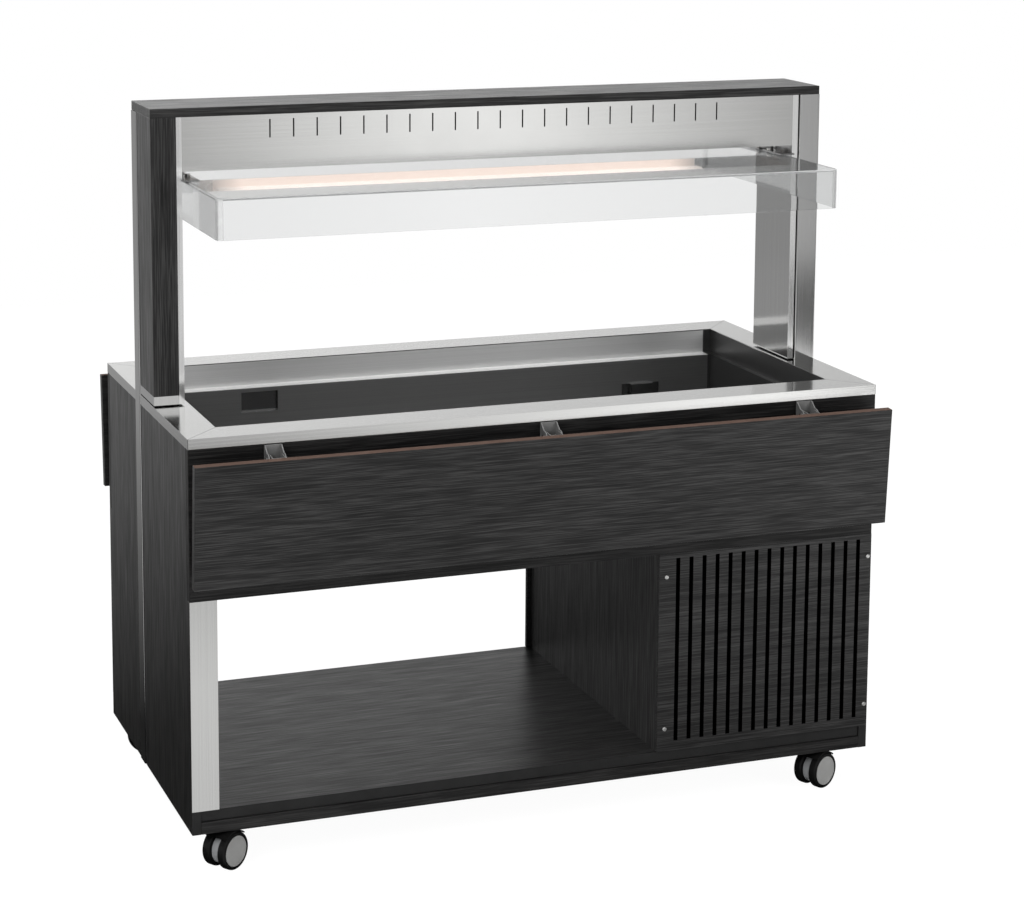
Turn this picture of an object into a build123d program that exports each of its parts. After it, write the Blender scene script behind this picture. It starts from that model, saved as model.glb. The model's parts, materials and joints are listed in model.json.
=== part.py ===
from build123d import *
import math
import os

# Buffet trolley: cold well on casters, with a lamp bridge, a clear canopy and two folding tray slides.
# Millimetres, +Z up, front towards -Y, origin on the floor under the middle of the table.

# Overall sizes
table_length = 1460.0
table_depth = 724.0
table_height = 863.0
overall_height = 1458.0
floor_gap = 80.0

# Boards, sheets and fits
board_thickness = 18.0
top_board_thickness = 18.0
sheet = 2.0
edge_round = 1.0
part_gap = 0.5
running_gap = 0.05
moving_gap = 0.3

# Table rim and well
rim_band = 20.0
rim_end = 74.0
rim_side = 80.0
well_depth = 210.0
ledge_drop = 53.0
ledge_width = 27.0
end_ledge = 11.0
flange_width = 10.0
side_insulation = 24.0
floor_insulation = 40.0
bearer_width = 40.0
bearer_inset = 156.0

# Well fittings
pocket_x = -422.0
pocket_width = 81.0
pocket_height = 44.0
pocket_drop = 9.5
pocket_depth = 8.0
guard_x = 470.0
guard_width = 54.0
guard_ear = 18.0
guard_stand = 14.0
guard_height = 42.0
guard_drop = 107.0
drain_offset = 41.0
drain_inset = 55.0
drain_radius = 14.0
drain_wall = 2.0
drain_drop = 150.0
valve_radius = 20.0
valve_height = 46.0
lever_length = 88.0
lever_width = 14.0
lever_thickness = 4.0
stub_radius = 5.0
stub_length = 9.0

# Posts
post_depth = 166.0
post_width = 62.5
column_width = 47.5
column_depth = 42.0
column_wall = 2.5
column_proud = 1.5
column_joint = 5.0
liner_front_return = 11.0
liner_rear_return = 13.0
post_base_height = 21.0
post_base_gap = 3.0
post_base_sheet = 3.0

# Lamp bridge
bridge_height = 108.0
slot_count = 21
slot_pitch = 48.8
slot_width = 3.0
slot_height = 37.0
slot_drop = 9.5
carrier_drop = 72.0
lamp_length = 1080.0
lamp_offset = -25.0
lamp_y = 50.0
lamp_width = 30.0
lamp_height = 17.0
diffuser_thickness = 3.0
driver_length = 180.0
driver_width = 60.0
driver_height = 30.0
driver_x = 320.0

# Canopy
canopy_end_gap = 11.0
canopy_depth = 632.0
canopy_height = 81.0
canopy_thickness = 5.0
canopy_round = 10.0
canopy_edge_round = 1.5
canopy_gap = 21.0
tongue_reach = 33.0
tongue_thickness = 3.0
tongue_start = 10.0
tongue_end = 95.0
pad_thickness = 2.0
pad_radius = 8.0
bracket_screw_y = 25.0
bracket_screw_reach = 25.0
bracket_screw_radius = 3.0
bracket_screw_head = 5.5
bracket_screw_head_height = 4.0

# Cabinet
fascia_height = 298.0
base_board_thickness = 22.0
base_board_inset = 3.0
plinth_thickness = 12.0
plinth_height = 25.0
inner_wall_thickness = 8.0
cover_sheet = 1.5
cover_return = 25.0
compartment_length = 484.0
divider_thickness = 30.0
ceiling_thickness = 10.0
ceiling_rise = 15.0

# Slotted front panel and rear service panel
panel_thickness = 10.0
grille_count = 15
grille_pitch = 29.4
grille_slot_width = 9.0
grille_first = 41.5
grille_low = 21.0
grille_high = 10.0
rear_slot_gap = 82.0
rear_panel_lap = 9.5
screw_inset_left = 16.0
screw_inset_right = 8.0
screw_inset_end = 48.0
screw_head_radius = 5.0
screw_head_height = 3.0
screw_head_round = 2.4
screw_shank_radius = 2.0
screw_shank_length = 22.0

# Control unit on the rear service panel
control_offset = 394.0
control_drop = 75.0
thermostat_width = 71.0
thermostat_height = 29.0
thermostat_depth = 60.0
bezel_margin = 4.0
bezel_thickness = 4.0
rocker_width = 12.0
rocker_height = 22.0
rocker_depth = 9.0
rocker_dip = 2.2
rocker_swing = 14.0
rocker_pin_radius = 1.5
rocker_pin_length = 1.4
rocker_frame_wall = 2.5
rocker_frame_depth = 16.0
main_rocker_offset = 314.0
lamp_rocker_offset = 279.0
gland_offset = 444.0
gland_rise = 38.0
gland_radius = 8.0
gland_bore_radius = 5.5
gland_nut_radius = 12.0
gland_reach = 18.0

# Folding tray slides
flap_overhang = 3.0
flap_height = 244.0
flap_thickness = 18.0
flap_tilt = 4.0
flap_step_down = 4.0
pivot_out = 23.0
pivot_rise = 43.5
pivot_back = 12.3
console_spread = 564.0
console_width = 35.0
console_sheet = 2.5
console_height = 84.0
console_nose = 13.0
arm_width = 27.0
arm_sheet = 2.0
arm_length = 180.0
arm_nose = 11.0
arm_tip = 13.0
pivot_radius = 4.0
pivot_head_radius = 5.5
pivot_head_height = 3.0
boss_ring_radius = 9.0
buffer_radius = 10.0
buffer_drop = 215.0
buffer_spread = 300.0

# Refrigeration unit
tray_length = 360.0
tray_width = 560.0
tray_thickness = 4.0
tray_offset = 249.0
tray_y = -60.0
compressor_offset = 334.0
compressor_y = 110.0
compressor_radius = 72.0
compressor_height = 170.0
compressor_round = 32.0
foot_radius = 11.0
foot_height = 14.0
foot_spread = 62.0
condenser_length = 300.0
condenser_width = 60.0
condenser_height = 260.0
condenser_gap = 14.0
fin_count = 12
fin_groove = 4.0
fan_radius = 100.0
fan_hub_radius = 28.0
fan_blades = 5
fan_depth = 20.0
fan_chord = 34.0
fan_pitch = 30.0
fan_standoff = 8.0
motor_radius = 34.0
motor_length = 44.0
shaft_radius = 4.0
strut_width = 10.0
strut_thickness = 4.0
pipe_radius = 5.0
pipe_bend = 22.0
pipe_rise = 60.0

# Casters
caster_inset_x = 87.0
caster_inset_y = 35.0
caster_turns = {"front_left": -55.0, "front_right": -65.0, "rear_left": -120.0, "rear_right": -65.0}
wheel_diameter = 75.0
wheel_width = 19.0
wheel_round = 4.5
wheel_spacing = 19.0
wheel_recess = 2.0
caster_trail = 20.0
axle_radius = 4.0
hood_thickness = 17.0
hood_radius = 30.0
guard_gap = 1.0
guard_sheet = 2.5
guard_half_width = 27.0
guard_half_angle = 42.0
neck_radius = 14.0
swivel_pin_radius = 5.0
caster_plate_size = 44.0
caster_plate_thickness = 3.0
boss_radius = 18.0
boss_height = 3.0

# Worked-out places
half_l = table_length / 2
half_d = table_depth / 2
rim_under = table_height - rim_band
well_length = table_length - 2 * rim_end
well_width = table_depth - 2 * rim_side
board_under = overall_height - top_board_thickness
post_half = post_depth / 2
liner_face = half_l - post_width
column_outer = half_l + column_proud
column_inner = column_outer - column_width
column_start = post_half - column_depth
panel_end = column_start - column_joint
post_foot = table_height + post_base_gap
bridge_bottom = board_under - bridge_height
canopy_top = bridge_bottom - canopy_gap
canopy_length = 2 * (liner_face - canopy_end_gap)
panel_inside = half_l - board_thickness
fascia_inside = half_d - board_thickness
fascia_bottom = rim_under - fascia_height
plinth_inside = half_d - plinth_thickness
base_under = floor_gap + plinth_height
shelf_top = base_under + base_board_thickness
panel_back = half_d - panel_thickness
cover_back = half_d - cover_sheet
inner_wall_face = column_inner - inner_wall_thickness
ceiling_under = fascia_bottom + ceiling_rise
ceiling_top = ceiling_under + ceiling_thickness
well_floor = table_height - well_depth
ledge_z = table_height - ledge_drop
lower_half = well_width / 2 - ledge_width
lower_end = well_length / 2 - end_ledge
bearer_spread = well_length / 2 - bearer_inset
drain_y = lower_half - drain_inset
tub_top = table_height - sheet
pivot_y = -(half_d + pivot_out)
pivot_z = table_height - flap_step_down - pivot_rise
flap_open = 90.0 + flap_tilt
unit_floor = shelf_top + tray_thickness
divider_x = half_l - compartment_length
drain_x = divider_x - drain_offset
tray_x = divider_x + tray_offset
compressor_x = divider_x + compressor_offset
control_x = divider_x + control_offset
control_z = fascia_bottom - control_drop
main_rocker_x = divider_x + main_rocker_offset
lamp_rocker_x = divider_x + lamp_rocker_offset
gland_x = divider_x + gland_offset
gland_z = shelf_top + gland_rise
flap_width = table_length + 2 * flap_overhang


def block(x0, x1, y0, y1, z0, z1):
    middle = Pos((x0 + x1) / 2, (y0 + y1) / 2, (z0 + z1) / 2)
    return middle * Box(x1 - x0, y1 - y0, z1 - z0)


def turned(shape):
    return Rot(0, 0, 180) * shape


def group(pieces):
    return Compound(children=list(pieces))


def rod_x(x0, x1, y, z, radius):
    return Pos((x0 + x1) / 2, y, z) * Rot(0, 90, 0) * Cylinder(radius, x1 - x0)


def rod_y(x, y0, y1, z, radius):
    return Pos(x, (y0 + y1) / 2, z) * Rot(90, 0, 0) * Cylinder(radius, y1 - y0)


def rod_z(x, y, z0, z1, radius):
    return Pos(x, y, (z0 + z1) / 2) * Cylinder(radius, z1 - z0)


def softened(shape, radius=edge_round):
    return fillet(shape.edges(), radius)


def column_space(gap):
    x0, x1 = -column_outer - gap, -column_inner + gap
    left = block(x0, x1, column_start - gap, post_half + gap, 0, overall_height)
    return left + turned(left)


def side_prisms(outer_x, outer_y, inner_x, inner_y, z0, z1):
    front = [(-outer_x, -outer_y), (outer_x, -outer_y), (inner_x, -inner_y), (-inner_x, -inner_y)]
    left = [(-outer_x, -outer_y), (-inner_x, -inner_y), (-inner_x, inner_y), (-outer_x, outer_y)]
    prisms = []
    for corners in (front, left):
        face = make_face(Polyline(*corners, close=True))
        prism = Pos(0, 0, z0) * extrude(face, z1 - z0, dir=(0, 0, 1))
        prisms += [prism, turned(prism)]
    return prisms


# Table rim of four mitred bars, and a well welded from folded sheets

def make_table_rim():
    rim = block(-half_l, half_l, -half_d, half_d, rim_under, table_height)
    rim -= block(-half_l + sheet, half_l - sheet, -half_d + sheet, half_d - sheet, rim_under, tub_top)
    rim -= block(-well_length / 2, well_length / 2, -well_width / 2, well_width / 2, rim_under, table_height)
    rim -= column_space(part_gap)
    bars = side_prisms(half_l, half_d, well_length / 2, well_width / 2, rim_under, table_height)
    return group(rim & bar for bar in bars)


def tub_upper(growth):
    x = well_length / 2 + growth
    y = well_width / 2 + growth
    return block(-x, x, -y, y, ledge_z - growth, tub_top)


def tub_lower(growth):
    x = lower_end + growth
    y = lower_half + growth
    return block(-x, x, -y, y, well_floor - growth, ledge_z)


def pocket_box(growth, back):
    x = pocket_width / 2 + growth
    top = ledge_z - pocket_drop
    start = lower_half + sheet
    return block(pocket_x - x, pocket_x + x, start, start + back, top - pocket_height - growth, top + growth)


def make_lower_end():
    y = lower_half
    low = lower_half + sheet
    plate = block(-lower_end - sheet, -lower_end, -low, low, well_floor - sheet, ledge_z - sheet)
    return plate + block(-well_length / 2, -lower_end, -y, y, ledge_z - sheet, ledge_z)


def make_upper_end():
    x = -well_length / 2
    y = well_width / 2 + sheet
    flange = y + flange_width
    plate = block(x - sheet, x, -y, y, ledge_z - sheet, tub_top)
    return plate + block(x - sheet - flange_width, x, -flange, flange, tub_top - sheet, tub_top)


def make_lower_wall():
    x = well_length / 2
    y = -lower_half
    wall = block(-lower_end, lower_end, y - sheet, y, well_floor - sheet, ledge_z)
    return wall + block(-x, x, -well_width / 2, y, ledge_z - sheet, ledge_z)


def make_upper_wall():
    x = well_length / 2
    y = -well_width / 2
    wall = block(-x, x, y - sheet, y, ledge_z - sheet, tub_top)
    return wall + block(-x, x, y - sheet - flange_width, y, tub_top - sheet, tub_top)


def make_well_tub():
    x = lower_end
    floor = block(-x, x, -lower_half, lower_half, well_floor - sheet, well_floor)
    floor -= rod_z(drain_x, drain_y, well_floor - sheet, well_floor, drain_radius)
    sheets = [make_lower_end(), make_lower_wall(), make_upper_wall(), make_upper_end()]
    opposite = [turned(piece) for piece in sheets]
    opposite[1] -= Pos(0, -sheet, 0) * pocket_box(0, sheet)
    return group([floor] + sheets + opposite)


def make_sensor_pocket():
    return pocket_box(sheet, pocket_depth + sheet) - pocket_box(0, pocket_depth)


def make_well_insulation():
    x = well_length / 2 + sheet + side_insulation
    y = well_width / 2 + sheet + side_insulation
    jacket = block(-x, x, -y, y, well_floor - sheet - floor_insulation, tub_top - sheet)
    jacket -= tub_upper(sheet) + tub_lower(sheet)
    jacket -= pocket_box(sheet, pocket_depth + sheet)
    return jacket - rod_z(drain_x, drain_y, 0, table_height, drain_radius + part_gap)


def make_well_bearers():
    top = well_floor - sheet - floor_insulation
    half = bearer_width / 2
    return group(
        block(x - half, x + half, -fascia_inside, fascia_inside, ceiling_top, top)
        for x in (-bearer_spread, 0, bearer_spread)
    )


def make_probe_guard():
    wall = lower_half
    face = wall - guard_stand
    half = guard_width / 2
    spread = half + guard_ear
    inner = half - sheet
    top = table_height - guard_drop
    low = top - guard_height
    ears = block(guard_x - spread, guard_x + spread, wall - sheet, wall, low, top)
    cover = block(guard_x - half, guard_x + half, face, wall, low, top)
    return ears + cover - block(guard_x - inner, guard_x + inner, face + sheet, wall, low, top - sheet)


def make_drain_pipe():
    low = well_floor - drain_drop
    pipe = rod_z(drain_x, drain_y, low - valve_height / 2, well_floor, drain_radius)
    pipe += rod_z(drain_x, drain_y, low - valve_height, low, valve_radius)
    pipe += rod_z(drain_x, drain_y, low - 2 * valve_height, low, drain_radius)
    bore = drain_radius - drain_wall
    pipe -= rod_z(drain_x, drain_y, low, well_floor, bore)
    pipe -= rod_z(drain_x, drain_y, low - 2 * valve_height, low - valve_height, bore)
    middle = low - valve_height / 2
    stub_start = drain_y - valve_radius - stub_length
    pipe += rod_y(drain_x, stub_start, drain_y - drain_radius, middle, stub_radius)
    return pipe


def make_drain_lever():
    middle = well_floor - drain_drop - valve_height / 2
    back = drain_y - valve_radius - moving_gap
    front = back - lever_thickness
    half = lever_width / 2
    lever = rod_y(drain_x, front, back, middle, half + sheet)
    lever += block(drain_x - lever_length, drain_x, front, back, middle - half, middle + half)
    return lever - rod_y(drain_x, front, back, middle, stub_radius + running_gap)


# Posts, top board and bridge

def make_left_column():
    outer = block(-column_outer, -column_inner, column_start, post_half, floor_gap, board_under)
    outer = fillet(outer.edges().filter_by(Axis.Z), column_wall)
    x0, x1 = -column_outer + column_wall, -column_inner - column_wall
    return outer - block(x0, x1, column_start + column_wall, post_half - column_wall, 0, board_under)


def make_left_liner():
    face = -liner_face
    web = block(face - sheet, face, -post_half, post_half, post_foot, board_under)
    front = block(face - liner_front_return, face, -post_half, -post_half + sheet, post_foot, board_under)
    rear = block(face - liner_rear_return, face, post_half - sheet, post_half, post_foot, board_under)
    return web + front + rear


def corner_board(thickness, z0, z1):
    inner = -liner_face - liner_front_return
    front = block(-half_l, inner, -post_half, -post_half + thickness, z0, z1)
    side = block(-half_l, -half_l + thickness, -post_half, panel_end, z0, z1)
    return front + side


def make_left_cladding():
    return corner_board(board_thickness, table_height + post_base_height, board_under)


def make_left_post_base():
    return corner_board(post_base_sheet, post_foot, table_height + post_base_height)


def make_top_board():
    return softened(block(-half_l, half_l, -post_half, post_half, board_under, overall_height))


def make_bridge_shell():
    shell = block(-liner_face, liner_face, -post_half, post_half, bridge_bottom, board_under)
    inner = post_half - sheet
    shell -= block(-liner_face, liner_face, -inner, inner, bridge_bottom, board_under - sheet)
    top = board_under - slot_drop
    slot = Box(slot_width, post_depth + sheet, slot_height)
    first = -slot_pitch * (slot_count - 1) / 2
    shell -= [Pos(first + i * slot_pitch, 0, top - slot_height / 2) * slot for i in range(slot_count)]
    return shell


def carrier_under():
    return board_under - carrier_drop - sheet


def make_lamp_carrier():
    inner = post_half - sheet
    return block(-liner_face, liner_face, -inner, inner, carrier_under(), carrier_under() + sheet)


def lamp_bar(z0, z1, margin):
    half = lamp_length / 2 - margin
    side = lamp_width / 2 - margin
    return block(lamp_offset - half, lamp_offset + half, lamp_y - side, lamp_y + side, z0, z1)


def make_lamp_housing():
    return lamp_bar(carrier_under() - lamp_height, carrier_under(), 0)


def make_lamp_diffuser():
    top = carrier_under() - lamp_height
    return lamp_bar(top - diffuser_thickness, top, sheet)


def make_lamp_driver():
    floor = carrier_under() + sheet
    half = driver_length / 2
    side = driver_width / 2
    driver = block(driver_x - half, driver_x + half, -side, side, floor, floor + driver_height)
    return softened(driver, sheet)


# Canopy: a roof sheet bonded on four walls, which meet in rounded corners

def canopy_slab(inset, z0, z1):
    x = canopy_length / 2 - inset
    y = canopy_depth / 2 - inset
    slab = block(-x, x, -y, y, z0, z1)
    return fillet(slab.edges().filter_by(Axis.Z), canopy_round - inset)


def bracket_places():
    return [(side, end) for side in (-1, 1) for end in (-1, 1)]


def bracket_screw_place(side, end):
    return side * (liner_face - bracket_screw_reach), end * bracket_screw_y


def make_canopy_roof():
    roof = canopy_slab(0, canopy_top - canopy_thickness, canopy_top)
    roof = fillet(roof.faces().sort_by(Axis.Z)[-1].edges(), canopy_edge_round)
    for side, end in bracket_places():
        x, y = bracket_screw_place(side, end)
        roof -= rod_z(x, y, canopy_top - canopy_thickness, canopy_top, bracket_screw_radius + running_gap)
    return roof


def make_canopy():
    low = canopy_top - canopy_height
    high = canopy_top - canopy_thickness
    ring = canopy_slab(0, low, high) - canopy_slab(canopy_thickness, low, high)
    x = canopy_length / 2
    y = canopy_depth / 2
    walls = side_prisms(x, y, x - canopy_round, y - canopy_round, low, high)
    return group([make_canopy_roof()] + [ring & wall for wall in walls])


def make_canopy_brackets():
    tongue_z = canopy_top + pad_thickness
    pieces = []
    for side, end in bracket_places():
        x0, x1 = sorted((side * liner_face, side * (liner_face - tongue_reach)))
        y0, y1 = sorted((end * tongue_start, end * tongue_end))
        leg_x0, leg_x1 = sorted((side * liner_face, side * (liner_face - tongue_thickness)))
        leg_y0, leg_y1 = sorted((end * tongue_start, end * post_half))
        x, y = bracket_screw_place(side, end)
        bracket = block(x0, x1, y0, y1, tongue_z, tongue_z + tongue_thickness)
        bracket += block(leg_x0, leg_x1, leg_y0, leg_y1, tongue_z, bridge_bottom)
        bracket += rod_z(x, y, canopy_top, tongue_z, pad_radius)
        pieces.append(bracket - rod_z(x, y, canopy_top, bridge_bottom, bracket_screw_radius + running_gap))
    return group(pieces)


def canopy_screws():
    head_z = canopy_top + pad_thickness + tongue_thickness
    pieces = []
    for side, end in bracket_places():
        x, y = bracket_screw_place(side, end)
        screw = rod_z(x, y, canopy_top - canopy_thickness, head_z, bracket_screw_radius)
        screw += rod_z(x, y, head_z, head_z + bracket_screw_head_height, bracket_screw_head)
        pieces.append(screw)
    return pieces


# Cabinet

def make_front_fascia():
    return block(-half_l, half_l, -half_d, -fascia_inside, fascia_bottom, rim_under)


def side_board(y0, y1, front_cut):
    board = block(-half_l, -panel_inside, y0, y1, floor_gap, rim_under)
    for end in (-1, 1):
        fascia_y0, fascia_y1 = sorted((end * fascia_inside, end * half_d))
        cut_y0, cut_y1 = sorted((end * (half_d - front_cut), end * half_d))
        board -= block(-half_l, -panel_inside, fascia_y0, fascia_y1, fascia_bottom, rim_under)
        board -= block(-half_l, -panel_inside, cut_y0, cut_y1, shelf_top, fascia_bottom)
    return board


def side_boards(front_cut):
    return [side_board(-half_d, panel_end, front_cut), side_board(post_half, half_d, front_cut)]


def make_left_side_panels():
    return group(side_boards(cover_sheet))


def make_right_side_panels():
    return group(turned(board) for board in side_boards(panel_thickness))


def make_edge_cover():
    face = block(-half_l, -inner_wall_face, -half_d, -cover_back, shelf_top, fascia_bottom)
    back = -cover_back + cover_return
    outer = block(-panel_inside, -panel_inside + cover_sheet, -cover_back, back, shelf_top, fascia_bottom)
    inner = block(-column_inner - cover_sheet, -column_inner, -cover_back, back, shelf_top, fascia_bottom)
    return face + outer + inner


def standing_wall(x0, x1, depth):
    wall = block(x0, x1, -depth, depth, shelf_top, fascia_bottom)
    return wall + block(x0, x1, -fascia_inside, fascia_inside, fascia_bottom, ceiling_under)


def make_left_inner_wall():
    return standing_wall(-column_inner, -inner_wall_face, cover_back)


def make_divider():
    return standing_wall(divider_x, divider_x + divider_thickness, panel_back)


def make_base_board():
    depth = half_d - base_board_inset
    board = block(-panel_inside, panel_inside, -depth, depth, base_under, shelf_top)
    return board - column_space(part_gap)


def make_front_plinth():
    return block(-panel_inside, panel_inside, -half_d, -plinth_inside, floor_gap, base_under)


def make_ceiling_panel():
    panel = block(-panel_inside, panel_inside, -fascia_inside, fascia_inside, ceiling_under, ceiling_top)
    panel -= column_space(part_gap)
    panel -= rod_z(drain_x, drain_y, ceiling_under, ceiling_top, drain_radius + part_gap)
    for x, y in pipe_tops():
        panel -= rod_z(x, y, ceiling_under, ceiling_top, pipe_radius + part_gap)
    return panel


def panel_slots(low, high):
    slot = Box(grille_slot_width, 2 * panel_thickness, high - low)
    y = -half_d + panel_thickness / 2
    return [
        Pos(divider_x + grille_first + i * grille_pitch, y, (low + high) / 2) * slot
        for i in range(grille_count)
    ]


def screw_places():
    low = shelf_top + screw_inset_end
    high = fascia_bottom - screw_inset_end
    left = divider_x + screw_inset_left
    right = half_l - screw_inset_right
    return [(x, z) for x in (left, right) for z in (low, high)]


def plain_panel(lap):
    panel = block(divider_x - lap, half_l, -half_d, -panel_back, shelf_top, fascia_bottom)
    for x, z in screw_places():
        panel -= rod_y(x, -half_d, -panel_back, z, screw_shank_radius)
    return panel


def make_front_grille():
    return plain_panel(0) - panel_slots(shelf_top + grille_low, fascia_bottom - grille_high)


def facing_back(shape):
    return mirror(shape, Plane.XZ)


def make_rear_service_panel():
    slots = panel_slots(shelf_top + grille_low, control_z - rear_slot_gap)
    panel = facing_back(plain_panel(rear_panel_lap) - slots)
    panel -= block(*thermostat_span(0), panel_back, half_d, *thermostat_rise(0))
    for x in (main_rocker_x, lamp_rocker_x):
        panel -= rocker_frame_block(x, 0, panel_back, half_d)
    return panel - rod_y(gland_x, panel_back, half_d, gland_z, gland_radius)


def panel_screw(x, z):
    shank = rod_y(x, -half_d, -half_d + screw_shank_length, z, screw_shank_radius)
    dome = rod_y(x, -half_d - screw_head_height, -half_d, z, screw_head_radius)
    return shank + fillet(dome.faces().sort_by(Axis.Y)[0].edges(), screw_head_round)


def drill_screw_holes(shape):
    for x, z in screw_places():
        for end in (-1, 1):
            y0, y1 = sorted((end * half_d, end * (half_d - screw_shank_length)))
            shape -= rod_y(x, y0, y1, z, screw_shank_radius)
    return shape


def panel_screws():
    front = [panel_screw(x, z) for x, z in screw_places()]
    return front + [facing_back(screw) for screw in front]


# Control unit

def thermostat_span(margin):
    return control_x - thermostat_width / 2 - margin, control_x + thermostat_width / 2 + margin


def thermostat_rise(margin):
    return control_z - thermostat_height / 2 - margin, control_z + thermostat_height / 2 + margin


def rocker_frame_block(x, margin, y0, y1):
    half_x = rocker_width / 2 + moving_gap + rocker_pin_length + rocker_frame_wall + margin
    half_z = rocker_height / 2 + rocker_frame_wall + margin
    return block(x - half_x, x + half_x, y0, y1, control_z - half_z, control_z + half_z)


def rocker_axis_y():
    return half_d + bezel_thickness - rocker_depth / 2


def make_thermostat():
    front = half_d + bezel_thickness
    body = block(*thermostat_span(0), half_d - thermostat_depth, half_d, *thermostat_rise(0))
    return body + block(*thermostat_span(bezel_margin), half_d, front, *thermostat_rise(bezel_margin))


def make_switch_frame(x):
    front = half_d + bezel_thickness
    frame = rocker_frame_block(x, 0, half_d - rocker_frame_depth, half_d)
    frame += rocker_frame_block(x, rocker_frame_wall, half_d, front)
    half_x = rocker_width / 2 + moving_gap
    half_z = rocker_height / 2 + rocker_frame_wall / 2
    floor = half_d - rocker_frame_depth + rocker_frame_wall
    frame -= block(x - half_x, x + half_x, floor, front, control_z - half_z, control_z + half_z)
    pin = rocker_width / 2 + rocker_pin_length + moving_gap
    return frame - rod_x(x - pin, x + pin, rocker_axis_y(), control_z, rocker_pin_radius + running_gap)


def make_control_unit():
    frames = [make_switch_frame(x) for x in (main_rocker_x, lamp_rocker_x)]
    return group([make_thermostat(), make_cable_gland()] + frames)


def make_rocker(x):
    half_x = rocker_width / 2
    half_z = rocker_height / 2
    deep = rocker_depth / 2
    corners = [(-deep, -half_z), (deep, -half_z), (deep - rocker_dip, 0), (deep, half_z), (-deep, half_z)]
    rocker = extrude(Plane.YZ * make_face(Polyline(*corners, close=True)), half_x, both=True)
    rocker += rod_x(-half_x - rocker_pin_length, half_x + rocker_pin_length, 0, 0, rocker_pin_radius)
    return Pos(x, rocker_axis_y(), control_z) * Rot(-rocker_swing / 2, 0, 0) * rocker


def make_cable_gland():
    hexagon = RegularPolygon(gland_nut_radius, 6)
    gland = rod_y(gland_x, panel_back, half_d, gland_z, gland_radius)
    gland += Pos(gland_x, half_d, gland_z) * Rot(-90, 0, 0) * extrude(hexagon, gland_reach)
    gland += Pos(gland_x, panel_back, gland_z) * Rot(90, 0, 0) * extrude(hexagon, sheet)
    return gland - rod_y(gland_x, panel_back - sheet, half_d + gland_reach, gland_z, gland_bore_radius)


# Folding tray slides. A flap is drawn hanging straight down from its pivot and then tilted.

def console_places():
    return (-console_spread, 0, console_spread)


def hung(shape):
    return Pos(0, pivot_y, pivot_z) * Rot(flap_tilt, 0, 0) * shape


def make_front_flap():
    half = flap_width / 2
    back = flap_thickness - pivot_rise
    return hung(softened(block(-half, half, -pivot_rise, back, pivot_back - flap_height, pivot_back)))


def arm_cheek(x0, x1):
    web = -pivot_rise + flap_thickness
    tip = -arm_length
    outline = Polyline(
        (web, arm_nose), (0, arm_nose), (arm_nose, 0), (web + arm_tip, tip), (web, tip), close=True
    )
    cheek = Pos(x0, 0, 0) * extrude(Plane.YZ * make_face(outline), x1 - x0)
    cheek += rod_x(x0, x1, 0, 0, arm_nose)
    return cheek - rod_x(x0, x1, 0, 0, pivot_radius + running_gap)


def make_arm(x):
    half = arm_width / 2
    back = -pivot_rise + flap_thickness
    web = block(x - half, x + half, back, back + arm_sheet, -arm_length, arm_nose)
    arm = web + arm_cheek(x - half, x - half + arm_sheet) + arm_cheek(x + half - arm_sheet, x + half)
    return hung(arm)


def make_front_flap_arms():
    return group(make_arm(x) for x in console_places())


def console_cheek(x0, x1):
    top = rim_under - sheet
    wall = -half_d
    outline = Polyline(
        (wall, top),
        (wall - console_sheet - sheet, top),
        (pivot_y - console_nose, pivot_z),
        (pivot_y, pivot_z - console_nose),
        (wall, top - console_height),
        close=True,
    )
    cheek = Pos(x0, 0, 0) * extrude(Plane.YZ * make_face(outline), x1 - x0)
    cheek += rod_x(x0, x1, pivot_y, pivot_z, console_nose)
    return cheek - rod_x(x0, x1, pivot_y, pivot_z, pivot_radius)


def make_console(x):
    half = console_width / 2
    top = rim_under - sheet
    console = block(x - half, x + half, -half_d - console_sheet, -half_d, top - console_height, top)
    for side in (-1, 1):
        cheek = sorted((x + side * half, x + side * (half - console_sheet)))
        ring = sorted((x + side * (half - console_sheet), x + side * (arm_width / 2 + moving_gap)))
        console += console_cheek(*cheek)
        console += rod_x(*ring, pivot_y, pivot_z, boss_ring_radius)
        console -= rod_x(*ring, pivot_y, pivot_z, pivot_radius)
    return console


def make_pivot(x):
    half = console_width / 2
    pin = rod_x(x - half, x + half, pivot_y, pivot_z, pivot_radius)
    for side in (-1, 1):
        x0, x1 = sorted((x + side * half, x + side * (half + pivot_head_height)))
        pin += rod_x(x0, x1, pivot_y, pivot_z, pivot_head_radius)
    return pin


def both_sides(pieces):
    return group(pieces + [turned(piece) for piece in pieces])


def make_flap_consoles():
    return both_sides([make_console(x) for x in console_places()])


def make_flap_pivots():
    return both_sides([make_pivot(x) for x in console_places()])


def make_flap_buffers():
    lean = math.radians(flap_tilt)
    back = pivot_rise - flap_thickness
    y = pivot_y + buffer_drop * math.sin(lean) - back * math.cos(lean)
    z = pivot_z - buffer_drop * math.cos(lean) - back * math.sin(lean)
    start = y + moving_gap + buffer_radius * math.tan(lean)
    return both_sides([rod_y(x, start, -half_d, z, buffer_radius) for x in (-buffer_spread, buffer_spread)])


# Refrigeration unit

def make_unit_tray():
    x = tray_length / 2
    y = tray_width / 2
    return block(tray_x - x, tray_x + x, tray_y - y, tray_y + y, shelf_top, unit_floor)


def compressor_feet():
    spots = [(sx * foot_spread, sy * foot_spread) for sx in (-1, 1) for sy in (-1, 1)]
    return [
        rod_z(compressor_x + x, compressor_y + y, unit_floor, unit_floor + foot_height, foot_radius)
        for x, y in spots
    ]


def compressor_base():
    return unit_floor + foot_height


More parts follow.
